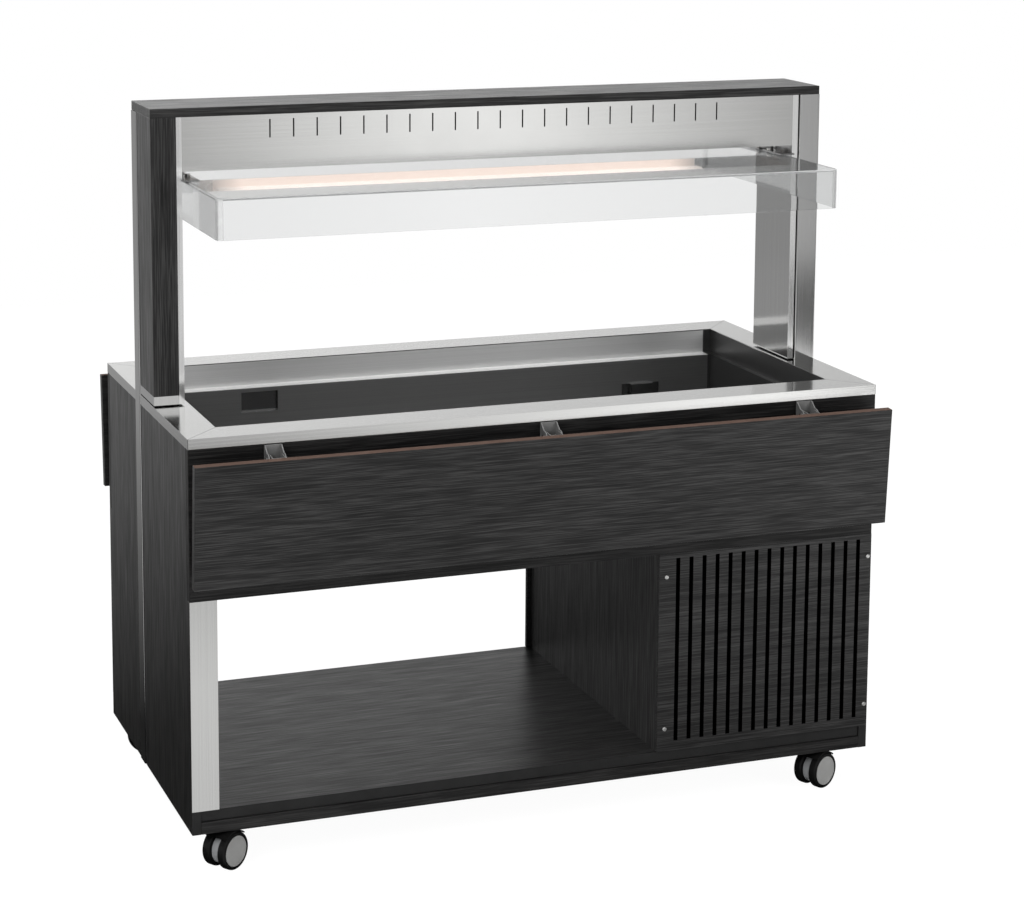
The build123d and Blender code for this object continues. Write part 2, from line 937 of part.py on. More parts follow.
def make_compressor():
    low = compressor_base()
    reach = foot_spread + foot_radius
    seat = low + tray_thickness
    plate = Box(2 * reach, 2 * reach, tray_thickness)
    plate = Pos(compressor_x, compressor_y, low + tray_thickness / 2) * plate
    body = rod_z(compressor_x, compressor_y, seat, seat + compressor_height, compressor_radius)
    body = fillet(body.faces().sort_by(Axis.Z)[-1].edges(), compressor_round)
    return group([plate + body] + compressor_feet())


def condenser_front():
    return -panel_back + condenser_gap


def condenser_back():
    return condenser_front() + condenser_width


def make_condenser():
    x = condenser_length / 2
    top = unit_floor + condenser_height
    core = block(tray_x - x, tray_x + x, condenser_front(), condenser_back(), unit_floor, top)
    pitch = condenser_length / (fin_count + 1)
    groove = Box(fin_groove, condenser_width / 2, condenser_height - 2 * fin_groove)
    middle = unit_floor + condenser_height / 2
    places = [tray_x - x + (i + 1) * pitch for i in range(fin_count)]
    return core - [Pos(place, condenser_front(), middle) * groove for place in places]


def fan_z():
    return unit_floor + condenser_height / 2


def rotor_start():
    return condenser_back() + sheet + fan_standoff


def motor_start():
    return rotor_start() + fan_depth + fan_standoff


def make_fan_frame():
    x = condenser_length / 2
    back = condenser_back()
    plate = block(tray_x - x, tray_x + x, back, back + sheet, unit_floor, unit_floor + condenser_height)
    plate -= rod_y(tray_x, back, back + sheet, fan_z(), fan_radius + fan_standoff)
    motor_end = motor_start() + motor_length
    frame = plate + rod_y(tray_x, motor_start(), motor_end, fan_z(), motor_radius)
    frame += rod_y(tray_x, rotor_start(), motor_start(), fan_z(), shaft_radius)
    reach = fan_radius + fan_standoff + strut_width
    half = strut_width / 2
    arm_y = motor_end - strut_thickness
    low, high = fan_z() - half, fan_z() + half
    frame += block(tray_x - reach - half, tray_x + reach + half, arm_y, motor_end, low, high)
    for side in (-1, 1):
        middle = tray_x + side * reach
        frame += block(middle - half, middle + half, back, motor_end, low, high)
    return frame


def make_fan_rotor():
    start = rotor_start()
    hub = rod_y(tray_x, start, start + fan_depth, fan_z(), fan_hub_radius)
    root = fan_hub_radius / 2
    blade_length = fan_radius - root
    blade = Pos(0, 0, root + blade_length / 2) * Rot(0, 0, fan_pitch) * Box(fan_chord, sheet, blade_length)
    for i in range(fan_blades):
        turn = Rot(0, i * 360 / fan_blades, 0)
        hub += Pos(tray_x, start + fan_depth / 2, fan_z()) * turn * blade
    return hub - rod_y(tray_x, start, start + fan_depth, fan_z(), shaft_radius + running_gap)


def pipe_tops():
    start_y = compressor_y + compressor_radius + pipe_bend + pipe_radius
    return [(compressor_x - pipe_bend, start_y)]


def tube(points):
    path = FilletPolyline(*points, radius=pipe_bend)
    ring = Plane(origin=path @ 0, z_dir=path % 0) * Circle(pipe_radius)
    return sweep(ring, path=path)


def make_refrigerant_pipes():
    crown = compressor_base() + tray_thickness + compressor_height
    dome = (compressor_x, compressor_y, crown)
    turn_z = crown + pipe_rise
    top_x, top_y = pipe_tops()[0]
    upper = well_floor - sheet - floor_insulation
    suction = tube([
        (dome[0] - pipe_bend, dome[1], dome[2]),
        (dome[0] - pipe_bend, dome[1], turn_z),
        (top_x, top_y, turn_z),
        (top_x, top_y, upper),
    ])
    condenser_top = unit_floor + condenser_height
    middle_y = (condenser_front() + condenser_back()) / 2
    discharge = tube([
        (dome[0] + pipe_bend, dome[1], dome[2]),
        (dome[0] + pipe_bend, dome[1], condenser_top + pipe_rise),
        (dome[0] + pipe_bend, middle_y, condenser_top + pipe_rise),
        (dome[0] + pipe_bend, middle_y, condenser_top),
    ])
    return group([suction, discharge])


# Casters. A caster is drawn round its swivel axis with the axle along X and the trail towards -Y.

def caster_places():
    x = half_l - caster_inset_x
    y = half_d - caster_inset_y
    return {"front_left": (-x, -y), "front_right": (x, -y), "rear_left": (-x, y), "rear_right": (x, y)}


def at_caster(corner, shape):
    return Pos(*caster_places()[corner], 0) * Rot(0, 0, caster_turns[corner]) * shape


wheel_radius = wheel_diameter / 2
plate_under = base_under - caster_plate_thickness
boss_under = plate_under - boss_height
neck_top = boss_under - moving_gap
neck_base = wheel_diameter + moving_gap


def make_caster_plate():
    half = caster_plate_size / 2
    plate = block(-half, half, -half, half, plate_under, base_under)
    plate += rod_z(0, 0, boss_under, plate_under, boss_radius)
    return plate + rod_z(0, 0, neck_base, boss_under, swivel_pin_radius)


def make_mudguard():
    inner = wheel_radius + guard_gap
    outer = inner + guard_sheet
    half = guard_half_width
    guard = rod_x(-half, half, 0, 0, outer) - rod_x(-half, half, 0, 0, inner)
    spread = outer * math.tan(math.radians(guard_half_angle))
    wedge = make_face(Polyline((0, 0), (spread, outer), (-spread, outer), close=True))
    guard &= extrude(Plane.YZ * wedge, half, both=True)
    return Pos(0, -caster_trail, wheel_radius) * guard


def make_caster_hood():
    half = hood_thickness / 2
    hood = rod_x(-half, half, -caster_trail, wheel_radius, hood_radius)
    hood += block(-half, half, -caster_trail, neck_radius, wheel_radius, neck_base + moving_gap)
    hood += make_mudguard()
    neck = rod_z(0, 0, neck_base, neck_top, neck_radius)
    hood += neck
    hood -= rod_z(0, 0, neck_base - swivel_pin_radius, neck_top, swivel_pin_radius + running_gap)
    reach = wheel_spacing / 2 + wheel_width - wheel_recess
    return hood + rod_x(-reach, reach, -caster_trail, wheel_radius, axle_radius)


def make_wheel(side):
    wheel = Cylinder(wheel_radius, wheel_width)
    wheel = fillet(wheel.edges().filter_by(GeomType.CIRCLE), wheel_round)
    face = wheel_radius - 2 * wheel_round
    wheel -= Pos(0, 0, wheel_width / 2) * Cylinder(face, 2 * wheel_recess)
    wheel -= Cylinder(axle_radius + running_gap, wheel_width)
    middle = side * (wheel_spacing + wheel_width) / 2
    return Pos(middle, -caster_trail, wheel_radius) * Rot(0, side * 90, 0) * wheel


# Every node by name

def make_nodes():
    nodes = {
        "table_rim": make_table_rim(),
        "well_tub": make_well_tub(),
        "well_insulation": make_well_insulation(),
        "well_bearers": make_well_bearers(),
        "well_fittings": group([make_sensor_pocket(), make_probe_guard()]),
        "drain_pipe": make_drain_pipe(),
        "drain_lever": make_drain_lever(),
        "top_board": make_top_board(),
        "bridge_shell": make_bridge_shell(),
        "lamp_carrier": make_lamp_carrier(),
        "lamp_housing": make_lamp_housing(),
        "lamp_diffuser": make_lamp_diffuser(),
        "lamp_driver": make_lamp_driver(),
        "canopy": make_canopy(),
        "canopy_brackets": make_canopy_brackets(),
        "front_fascia": drill_screw_holes(make_front_fascia()),
        "left_side_panels": make_left_side_panels(),
        "right_side_panels": group(drill_screw_holes(board) for board in make_right_side_panels().solids()),
        "left_inner_wall": make_left_inner_wall(),
        "divider": drill_screw_holes(make_divider()),
        "base_board": make_base_board(),
        "ceiling_panel": make_ceiling_panel(),
        "front_grille": make_front_grille(),
        "rear_service_panel": make_rear_service_panel(),
        "screws": group(canopy_screws() + panel_screws()),
        "control_unit": make_control_unit(),
        "main_rocker": make_rocker(main_rocker_x),
        "lamp_rocker": make_rocker(lamp_rocker_x),
        "front_flap": make_front_flap(),
        "front_flap_arms": make_front_flap_arms(),
        "flap_consoles": make_flap_consoles(),
        "flap_pivots": make_flap_pivots(),
        "flap_buffers": make_flap_buffers(),
        "unit_tray": make_unit_tray(),
        "compressor": make_compressor(),
        "condenser": make_condenser(),
        "fan_frame": make_fan_frame(),
        "fan_rotor": make_fan_rotor(),
        "refrigerant_pipes": make_refrigerant_pipes(),
    }
    nodes["rear_fascia"] = turned(nodes["front_fascia"])
    nodes["rear_flap"] = turned(nodes["front_flap"])
    nodes["rear_flap_arms"] = group(turned(arm) for arm in nodes["front_flap_arms"].solids())
    plinth = make_front_plinth()
    nodes["plinths"] = group([plinth, turned(plinth)])
    cover = make_edge_cover()
    nodes["edge_covers"] = group([cover, facing_back(cover)])
    for name, pieces in (
        ("columns", [make_left_column()]),
        ("post_liners", [make_left_liner(), make_left_post_base()]),
        ("post_claddings", [make_left_cladding()]),
    ):
        nodes[name] = group(pieces + [turned(piece) for piece in pieces])
    nodes["caster_plates"] = group(Pos(*place, 0) * make_caster_plate() for place in caster_places().values())
    for corner in caster_turns:
        nodes["caster_hood_" + corner] = at_caster(corner, make_caster_hood())
        nodes["left_wheel_" + corner] = at_caster(corner, make_wheel(-1))
        nodes["right_wheel_" + corner] = at_caster(corner, make_wheel(1))
    return nodes


os.makedirs("parts", exist_ok=True)
for node_name, node_shape in make_nodes().items():
    export_step(node_shape, "parts/" + node_name + ".step")
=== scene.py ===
import json
import math

import bmesh
import bpy
from mathutils import Matrix, Vector


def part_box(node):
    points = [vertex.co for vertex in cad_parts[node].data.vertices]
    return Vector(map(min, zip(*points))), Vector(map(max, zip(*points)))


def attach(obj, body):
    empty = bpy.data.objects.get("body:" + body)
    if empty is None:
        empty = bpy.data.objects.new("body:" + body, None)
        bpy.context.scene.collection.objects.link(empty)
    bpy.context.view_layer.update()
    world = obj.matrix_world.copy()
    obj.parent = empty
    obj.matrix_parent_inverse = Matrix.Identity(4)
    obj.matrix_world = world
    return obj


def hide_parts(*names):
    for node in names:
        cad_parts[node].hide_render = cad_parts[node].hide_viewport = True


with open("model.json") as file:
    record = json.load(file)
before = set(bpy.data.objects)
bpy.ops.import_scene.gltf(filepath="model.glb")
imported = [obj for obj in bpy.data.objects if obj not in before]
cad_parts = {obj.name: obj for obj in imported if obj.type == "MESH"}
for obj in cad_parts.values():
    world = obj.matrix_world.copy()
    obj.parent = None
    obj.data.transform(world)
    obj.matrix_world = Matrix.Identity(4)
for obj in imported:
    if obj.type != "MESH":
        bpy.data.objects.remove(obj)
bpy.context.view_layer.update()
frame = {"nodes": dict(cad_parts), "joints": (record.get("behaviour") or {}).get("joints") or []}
nodes = frame["nodes"]
joints = {joint["name"]: joint for joint in frame["joints"]}
scene = bpy.context.scene
scene.view_settings.view_transform = "Standard"


# Shader helpers

def addNode(tree, kind, **settings):
    node = tree.nodes.new(kind)
    for key, value in settings.items():
        setattr(node, key, value)
    return node


def feed(tree, socket, value):
    if hasattr(value, "is_output"):
        tree.links.new(value, socket)
    else:
        socket.default_value = value


def calc(tree, operation, first, second=0.0, clamp=False):
    node = addNode(tree, "ShaderNodeMath", operation=operation, use_clamp=clamp)
    feed(tree, node.inputs[0], first)
    feed(tree, node.inputs[1], second)
    return node.outputs[0]


def remap(tree, value, fromLow, fromHigh, toLow=0.0, toHigh=1.0):
    node = addNode(tree, "ShaderNodeMapRange")
    feed(tree, node.inputs["Value"], value)
    ends = {"From Min": fromLow, "From Max": fromHigh, "To Min": toLow, "To Max": toHigh}
    for label, number in ends.items():
        node.inputs[label].default_value = number
    return node.outputs["Result"]


def blendColour(tree, factor, first, second):
    node = addNode(tree, "ShaderNodeMix", data_type="RGBA")
    feed(tree, node.inputs["Factor"], factor)
    feed(tree, node.inputs[6], first)
    feed(tree, node.inputs[7], second)
    return node.outputs[2]


def blendValue(tree, factor, first, second):
    node = addNode(tree, "ShaderNodeMix")
    feed(tree, node.inputs["Factor"], factor)
    feed(tree, node.inputs[2], first)
    feed(tree, node.inputs[3], second)
    return node.outputs[0]


def split(tree, vector):
    node = addNode(tree, "ShaderNodeSeparateXYZ")
    tree.links.new(vector, node.inputs[0])
    return node.outputs


def newMaterial(name):
    material = bpy.data.materials.new(name)
    material.use_nodes = True
    tree = material.node_tree
    return material, tree, tree.nodes["Principled BSDF"]


def objectPlace(tree, turn=(0, 0, 0)):
    where = addNode(tree, "ShaderNodeTexCoord")
    mapping = addNode(tree, "ShaderNodeMapping")
    mapping.inputs["Rotation"].default_value = turn
    tree.links.new(where.outputs["Object"], mapping.inputs["Vector"])
    return mapping.outputs["Vector"]


def bump(tree, shader, height, strength, distance):
    node = addNode(tree, "ShaderNodeBump")
    node.inputs["Strength"].default_value = strength
    node.inputs["Distance"].default_value = distance
    tree.links.new(height, node.inputs["Height"])
    tree.links.new(node.outputs["Normal"], shader.inputs["Normal"])


# Shared effects

def newGroup(name, inputs, outputs):
    group = bpy.data.node_groups.new(name, "ShaderNodeTree")
    for label, kind, value in inputs:
        socket = group.interface.new_socket(label, in_out="INPUT", socket_type=kind)
        if value is not None:
            socket.default_value = value
    for label in outputs:
        group.interface.new_socket(label, in_out="OUTPUT", socket_type="NodeSocketFloat")
    return group, addNode(group, "NodeGroupInput").outputs, addNode(group, "NodeGroupOutput").inputs


def stretchedNoise(tree, vector, along, across, detail, roughness=0.55):
    size = addNode(tree, "ShaderNodeCombineXYZ")
    for index, value in enumerate((along, across, across)):
        feed(tree, size.inputs[index], value)
    scaled = addNode(tree, "ShaderNodeVectorMath", operation="MULTIPLY")
    tree.links.new(vector, scaled.inputs[0])
    tree.links.new(size.outputs[0], scaled.inputs[1])
    noise = addNode(tree, "ShaderNodeTexNoise")
    noise.inputs["Scale"].default_value = 1.0
    noise.inputs["Detail"].default_value = detail
    noise.inputs["Roughness"].default_value = roughness
    tree.links.new(scaled.outputs[0], noise.inputs["Vector"])
    return noise.outputs["Fac"]


# Fine lines with slower bands under them, for wood grain and brushed steel
lineLook = {
    "slowAlong": 0.4,
    "slowAcross": 0.08,
    "lineRange": (0.40, 0.62),
    "bandRange": (0.36, 0.64),
    "bandDetail": 2.0,
}


def makeLineGroup(name, detail):
    inputs = [("Vector", "NodeSocketVector", None), ("Along", "NodeSocketFloat", 3.0),
              ("Across", "NodeSocketFloat", 400.0)]
    group, given, out = newGroup(name, inputs, ["Line", "Band"])
    fine = stretchedNoise(group, given["Vector"], given["Along"], given["Across"], detail)
    slowAlong = calc(group, "MULTIPLY", given["Along"], lineLook["slowAlong"])
    slowAcross = calc(group, "MULTIPLY", given["Across"], lineLook["slowAcross"])
    broad = stretchedNoise(group, given["Vector"], slowAlong, slowAcross, lineLook["bandDetail"])
    group.links.new(remap(group, fine, *lineLook["lineRange"]), out["Line"])
    group.links.new(remap(group, broad, *lineLook["bandRange"]), out["Band"])
    return group


grainGroup = makeLineGroup("woodGrain", 2.5)
brushGroup = makeLineGroup("brushedLines", 2.0)

patches = {"detail": 5.0, "range": (0.35, 0.68)}


def makeCloudGroup():
    inputs = [("Vector", "NodeSocketVector", None), ("Size", "NodeSocketFloat", 9.0)]
    group, given, out = newGroup("handledPatches", inputs, ["Patch"])
    patch = stretchedNoise(group, given["Vector"], given["Size"], given["Size"], patches["detail"])
    group.links.new(remap(group, patch, *patches["range"]), out["Patch"])
    return group


cloudGroup = makeCloudGroup()


def useGroup(tree, group, vector, **values):
    node = addNode(tree, "ShaderNodeGroup", node_tree=group)
    tree.links.new(vector, node.inputs["Vector"])
    for label, value in values.items():
        node.inputs[label].default_value = value
    return node.outputs


def dimmed(colour, share):
    return [channel * share for channel in colour[:3]] + [1]


# Turns that lay a pattern's lines along X, Y or Z
lineTurn = {"x": (0, 0, 0), "y": (0, 0, math.radians(-90)), "z": (0, math.radians(90), 0)}

laminate = {
    "dark": (0.0022, 0.0021, 0.0022, 1),
    "light": (0.017, 0.0165, 0.0162, 1),
    "along": 11.0,
    "across": 620.0,
    "bandShare": 0.22,
    "contrast": 1.5,
    "rough": (0.46, 0.38),
    "specular": 0.2,
    "gloss": (0.32, 1.0),
    "glossRough": 0.33,
    "pores": (0.15, 0.0003),
}


def makeLaminate(name, grain, shine=1.0):
    material, tree, shader = newMaterial(name)
    place = objectPlace(tree, lineTurn[grain])
    wood = useGroup(tree, grainGroup, place, Along=laminate["along"], Across=laminate["across"])
    share = laminate["bandShare"]
    streak = calc(tree, "MULTIPLY", wood["Line"], 1.0 - share)
    streak = calc(tree, "ADD", streak, calc(tree, "MULTIPLY", wood["Band"], share))
    streak = calc(tree, "POWER", streak, laminate["contrast"])
    tone = blendColour(tree, streak, laminate["dark"], laminate["light"])
    tree.links.new(tone, shader.inputs["Base Color"])
    tree.links.new(remap(tree, streak, 0, 1, *laminate["rough"]), shader.inputs["Roughness"])
    gloss = [shine * weight for weight in laminate["gloss"]]
    tree.links.new(remap(tree, streak, 0, 1, *gloss), shader.inputs["Coat Weight"])
    shader.inputs["Coat Roughness"].default_value = laminate["glossRough"]
    shader.inputs["Specular IOR Level"].default_value = laminate["specular"]
    bump(tree, shader, wood["Line"], *laminate["pores"])
    return material


laminateAlong = makeLaminate("laminateAlong", "x")
laminateUpright = makeLaminate("laminateUpright", "z")
laminateShelf = makeLaminate("laminateShelf", "x", shine=0.78)
laminateMatt = makeLaminate("laminateMatt", "x", shine=0.2)
print("laminates made")


brushing = {"along": 1.5, "across": 700.0, "patchSize": 7.0, "dim": 0.94, "lineShare": 0.6, "height": 0.0002}


def brushedLines(tree, place, across=brushing["across"]):
    return useGroup(tree, brushGroup, place, Along=brushing["along"], Across=across)


def makeSteel(name, grain, base, roughness, spread, lineDepth, across=brushing["across"], metallic=1.0):
    material, tree, shader = newMaterial(name)
    place = objectPlace(tree, lineTurn[grain])
    brush = brushedLines(tree, place, across)
    cloud = useGroup(tree, cloudGroup, place, Size=brushing["patchSize"])
    dim = dimmed(base, brushing["dim"])
    tree.links.new(blendColour(tree, brush["Line"], dim, base), shader.inputs["Base Color"])
    share = brushing["lineShare"]
    uneven = calc(tree, "MULTIPLY", brush["Line"], share)
    uneven = calc(tree, "ADD", uneven, calc(tree, "MULTIPLY", cloud["Patch"], 1.0 - share))
    rough = remap(tree, uneven, 0, 1, roughness - spread, roughness + spread)
    tree.links.new(rough, shader.inputs["Roughness"])
    shader.inputs["Metallic"].default_value = metallic
    bump(tree, shader, brush["Line"], lineDepth, brushing["height"])
    return material


steelAlong = makeSteel("brushedSteelAlong", "x", (0.59, 0.59, 0.58, 1), 0.15, 0.03, 0.02)
steelUpright = makeSteel("brushedSteelUpright", "z", (0.64, 0.64, 0.63, 1), 0.22, 0.03, 0.03)
smallSteel = makeSteel("smallSteel", "z", (0.56, 0.56, 0.55, 1), 0.24, 0.06, 0.03, across=1500.0)
postSteel = makeSteel("postSteel", "z", (0.57, 0.57, 0.565, 1), 0.10, 0.02, 0.01)
# a lighter copy of the column steel, painted brighter to stand in for light on the liners
paintedLitLinerSteel = makeSteel("paintedLitLinerSteel", "z", (0.66, 0.66, 0.655, 1), 0.10, 0.02, 0.01)
# a brighter copy of the liner steel: a painted highlight on the liner folds
paintedHighlightSteel = makeSteel("paintedHighlightSteel", "z", (0.88, 0.88, 0.875, 1), 0.12, 0.02, 0.01)
zincPlate = makeSteel("zincPlate", "z", (0.27, 0.27, 0.268, 1), 0.36, 0.06, 0.03, across=1500.0,
                      metallic=0.70)
fittingSteel = makeSteel("fittingSteel", "x", (0.26, 0.26, 0.26, 1), 0.24, 0.03, 0.02)

wellLook = {
    "ledgeDrop": 0.053,
    "fold": 0.0009,
    "endSheet": 0.030,
    "upper": {"base": (0.57, 0.57, 0.57, 1), "metallic": 0.45, "roughness": 0.30},
    # lower base colour: darker than the upper, as painted shade deep in the well
    "lower": {"base": (0.34, 0.34, 0.34, 1), "metallic": 0.90, "roughness": 0.30},
    # bright: a painted highlight along the ledge fold
    "bright": (0.90, 0.90, 0.89, 1),
    # end: painted shade on the end sheets
    "end": (0.13, 0.13, 0.13, 1),
    "dim": 0.08,
    "lineDepth": 0.02,
}


def makeWellSteel():
    # upper sheets on the long sides above the ledge paler and less metallic; the lower sheets darkened as
    # painted shade; a painted highlight along the ledge fold; the end sheets darkened as painted shade
    material, tree, shader = newMaterial("wellSteel")
    place = objectPlace(tree)
    brush = brushedLines(tree, place)
    x, y, z = split(tree, place)
    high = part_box("well_tub")[1]
    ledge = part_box("table_rim")[1].z - wellLook["ledgeDrop"]
    inside = calc(tree, "LESS_THAN", calc(tree, "ABSOLUTE", x), high.x - wellLook["endSheet"])
    above = calc(tree, "MULTIPLY", inside, calc(tree, "GREATER_THAN", z, ledge - wellLook["fold"]))
    offLedge = calc(tree, "ABSOLUTE", calc(tree, "SUBTRACT", z, ledge))
    fold = calc(tree, "MULTIPLY", calc(tree, "LESS_THAN", offLedge, wellLook["fold"]), inside)
    lower, upper = wellLook["lower"], wellLook["upper"]
    base = blendColour(tree, above, lower["base"], upper["base"])
    # painted highlight along the ledge fold, then painted shade on the end sheets
    base = blendColour(tree, fold, base, wellLook["bright"])
    base = blendColour(tree, inside, wellLook["end"], base)
    dim = blendColour(tree, wellLook["dim"], base, (0, 0, 0, 1))
    tree.links.new(blendColour(tree, brush["Line"], dim, base), shader.inputs["Base Color"])
    for socket, key in (("Metallic", "metallic"), ("Roughness", "roughness")):
        tree.links.new(remap(tree, above, 0, 1, lower[key], upper[key]), shader.inputs[socket])
    bump(tree, shader, brush["Line"], wellLook["lineDepth"], brushing["height"])
    return material


wellSteel = makeWellSteel()
print("steels made")

rimLook = {
    "base": (0.66, 0.66, 0.65, 1),
    "dim": 0.93,
    "seam": (0.24, 0.24, 0.24, 1),
    "seamWidth": 0.0011,
    "roughness": (0.12, 0.19),
    "lineDepth": 0.04,
    "tubFlange": 0.012,
}


def mitreSlope():
    # the rim's width at the ends over its width at the sides, up to the well's opening
    rim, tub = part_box("table_rim")[1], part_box("well_tub")[1]
    return (rim.x - tub.x + rimLook["tubFlange"]) / (rim.y - tub.y + rimLook["tubFlange"])


def makeRimSteel():
    # brushed along each bar, with a thin seam on the mitres
    material, tree, shader = newMaterial("rimSteel")
    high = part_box("table_rim")[1]
    x, y, z = split(tree, objectPlace(tree))
    fromEnd = calc(tree, "SUBTRACT", high.x, calc(tree, "ABSOLUTE", x))
    fromSide = calc(tree, "SUBTRACT", high.y, calc(tree, "ABSOLUTE", y))
    off = calc(tree, "SUBTRACT", fromEnd, calc(tree, "MULTIPLY", fromSide, mitreSlope()))
    alongX = calc(tree, "GREATER_THAN", off, 0.0)
    linesX = brushedLines(tree, objectPlace(tree, lineTurn["x"]))
    linesY = brushedLines(tree, objectPlace(tree, lineTurn["y"]))
    line = blendValue(tree, alongX, linesY["Line"], linesX["Line"])
    steel = blendColour(tree, line, dimmed(rimLook["base"], rimLook["dim"]), rimLook["base"])
    seam = calc(tree, "LESS_THAN", calc(tree, "ABSOLUTE", off), rimLook["seamWidth"])
    tree.links.new(blendColour(tree, seam, steel, rimLook["seam"]), shader.inputs["Base Color"])
    tree.links.new(remap(tree, line, 0, 1, *rimLook["roughness"]), shader.inputs["Roughness"])
    shader.inputs["Metallic"].default_value = 1.0
    bump(tree, shader, line, rimLook["lineDepth"], brushing["height"])
    return material


rimSteel = makeRimSteel()


moulding = {
    "dim": 0.86,
    "patchSize": 24.0,
    "uneven": (0.06, -0.04),
    "speckDetail": 2.0,
    "specks": (0.15, 0.0002),
}


def makePlastic(name, colour, roughness, grainSize=1800.0, specular=0.5):
    material, tree, shader = newMaterial(name)
    place = objectPlace(tree)
    speck = stretchedNoise(tree, place, grainSize, grainSize, moulding["speckDetail"])
    cloud = useGroup(tree, cloudGroup, place, Size=moulding["patchSize"])
    dim = dimmed(colour, moulding["dim"])
    tree.links.new(blendColour(tree, cloud["Patch"], dim, colour), shader.inputs["Base Color"])
    rough = [roughness + change for change in moulding["uneven"]]
    tree.links.new(remap(tree, cloud["Patch"], 0, 1, *rough), shader.inputs["Roughness"])
    shader.inputs["Specular IOR Level"].default_value = specular
    bump(tree, shader, speck, *moulding["specks"])
    return material


greyPlastic = makePlastic("greyPlastic", (0.20, 0.205, 0.21, 1), 0.42)
capPlastic = makePlastic("capPlastic", (0.25, 0.25, 0.245, 1), 0.38)
tyreRubber = makePlastic("tyreRubber", (0.004, 0.004, 0.004, 1), 0.42, specular=0.14)
blackPlastic = makePlastic("blackPlastic", (0.014, 0.014, 0.015, 1), 0.40)
blackPaint = makePlastic("blackPaint", (0.010, 0.010, 0.010, 1), 0.35)
bufferRubber = makePlastic("bufferRubber", (0.016, 0.016, 0.016, 1), 0.65)
foam = makePlastic("foam", (0.72, 0.69, 0.60, 1), 0.85, grainSize=500.0)
flapCore = makePlastic("flapCore", (0.080, 0.050, 0.039, 1), 0.6, grainSize=700.0, specular=0.2)
# near-black with no gloss, used only as painted shade in slots and gaps
paintedShadeBlack = makePlastic("paintedShadeBlack", (0.001, 0.001, 0.001, 1), 0.9, specular=0.0)
edgeBand = makePlastic("edgeBand", (0.009, 0.009, 0.009, 1), 0.6, specular=0.3)
finMetal = makeSteel("finMetal", "z", (0.62, 0.63, 0.64, 1), 0.34, 0.06, 0.05)
copper = makeSteel("copper", "z", (0.75, 0.40, 0.26, 1), 0.28, 0.05, 0.03)
print("plastics and small metals made")

acrylic = {
    "colour": (0.805, 0.81, 0.81, 1),
    "shadow": (0.93, 0.94, 0.94, 1),
    "roughness": (0.018, 0.039),
    "patchSize": 5.0,
    "ior": 1.49,
    # edge: the painted highlight on the hood's rounded edges and corners
    "edge": {"base": (0.54, 0.545, 0.545, 1), "alpha": 0.58, "roughness": (0.30, 0.22), "patchSize": 40.0},
}


def makeAcrylic():
    material, tree, shader = newMaterial("clearAcrylic")
    cloud = useGroup(tree, cloudGroup, objectPlace(tree), Size=acrylic["patchSize"])
    tree.links.new(remap(tree, cloud["Patch"], 0, 1, *acrylic["roughness"]), shader.inputs["Roughness"])
    shader.inputs["Base Color"].default_value = acrylic["colour"]
    shader.inputs["IOR"].default_value = acrylic["ior"]
    shader.inputs["Transmission Weight"].default_value = 1.0
    # light passes straight through to what stands below
    path = addNode(tree, "ShaderNodeLightPath")
    clear = addNode(tree, "ShaderNodeBsdfTransparent")
    clear.inputs["Color"].default_value = acrylic["shadow"]
    mix = addNode(tree, "ShaderNodeMixShader")
    tree.links.new(path.outputs["Is Shadow Ray"], mix.inputs["Fac"])
    tree.links.new(shader.outputs[0], mix.inputs[1])
    tree.links.new(clear.outputs[0], mix.inputs[2])
    tree.links.new(mix.outputs[0], tree.nodes["Material Output"].inputs["Surface"])
    return material


clearAcrylic = makeAcrylic()


def makeEdgeHighlight():
    # rounded corners and edges given a pale, part-opaque finish: a painted highlight
    material, tree, shader = newMaterial("paintedEdgeHighlight")
    edge = acrylic["edge"]
    cloud = useGroup(tree, cloudGroup, objectPlace(tree), Size=edge["patchSize"])
    tree.links.new(remap(tree, cloud["Patch"], 0, 1, *edge["roughness"]), shader.inputs["Roughness"])
    shader.inputs["Base Color"].default_value = edge["base"]
    shader.inputs["Alpha"].default_value = edge["alpha"]
    return material


paintedEdgeHighlight = makeEdgeHighlight()

lamp = {
    "pitch": 0.0042,
    "dotRange": (-0.4, 0.6),
    "edge": 0.0005,
    "warm": (0.95, 0.74, 0.63, 1),
    "bright": (1.60, 1.45, 1.36, 1),
    "cover": (0.35, 0.33, 0.31, 1),
    "fade": 0.06,
    "faded": 0.3,
}


def makeLampWhite():
    # a warm glow for the cover, also put on the strip behind the lamp as painted light, with a row of bright
    # points along the diffuser
    material, tree, shader = newMaterial("lampWhite")
    x, y, z = split(tree, objectPlace(tree))
    turn = calc(tree, "MULTIPLY", x, 2 * math.pi / lamp["pitch"])
    dot = remap(tree, calc(tree, "SINE", turn), *lamp["dotRange"])
    low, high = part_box("lamp_diffuser")
    row = calc(tree, "GREATER_THAN", z, low.z - lamp["edge"])
    row = calc(tree, "MULTIPLY", row, calc(tree, "LESS_THAN", y, high.y + lamp["edge"]))
    glow = blendColour(tree, calc(tree, "MULTIPLY", row, dot), lamp["warm"], lamp["bright"])
    low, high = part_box("lamp_housing")
    off = calc(tree, "ABSOLUTE", calc(tree, "SUBTRACT", x, (low.x + high.x) / 2))
    half = (high.x - low.x) / 2
    fade = remap(tree, off, half - lamp["fade"], half, 1.0, lamp["faded"])
    tree.links.new(blendColour(tree, fade, (0, 0, 0, 1), glow), shader.inputs["Emission Color"])
    shader.inputs["Emission Strength"].default_value = 1.0
    shader.inputs["Base Color"].default_value = lamp["cover"]
    return material


lampWhite = makeLampWhite()
print("acrylic and lamp made")

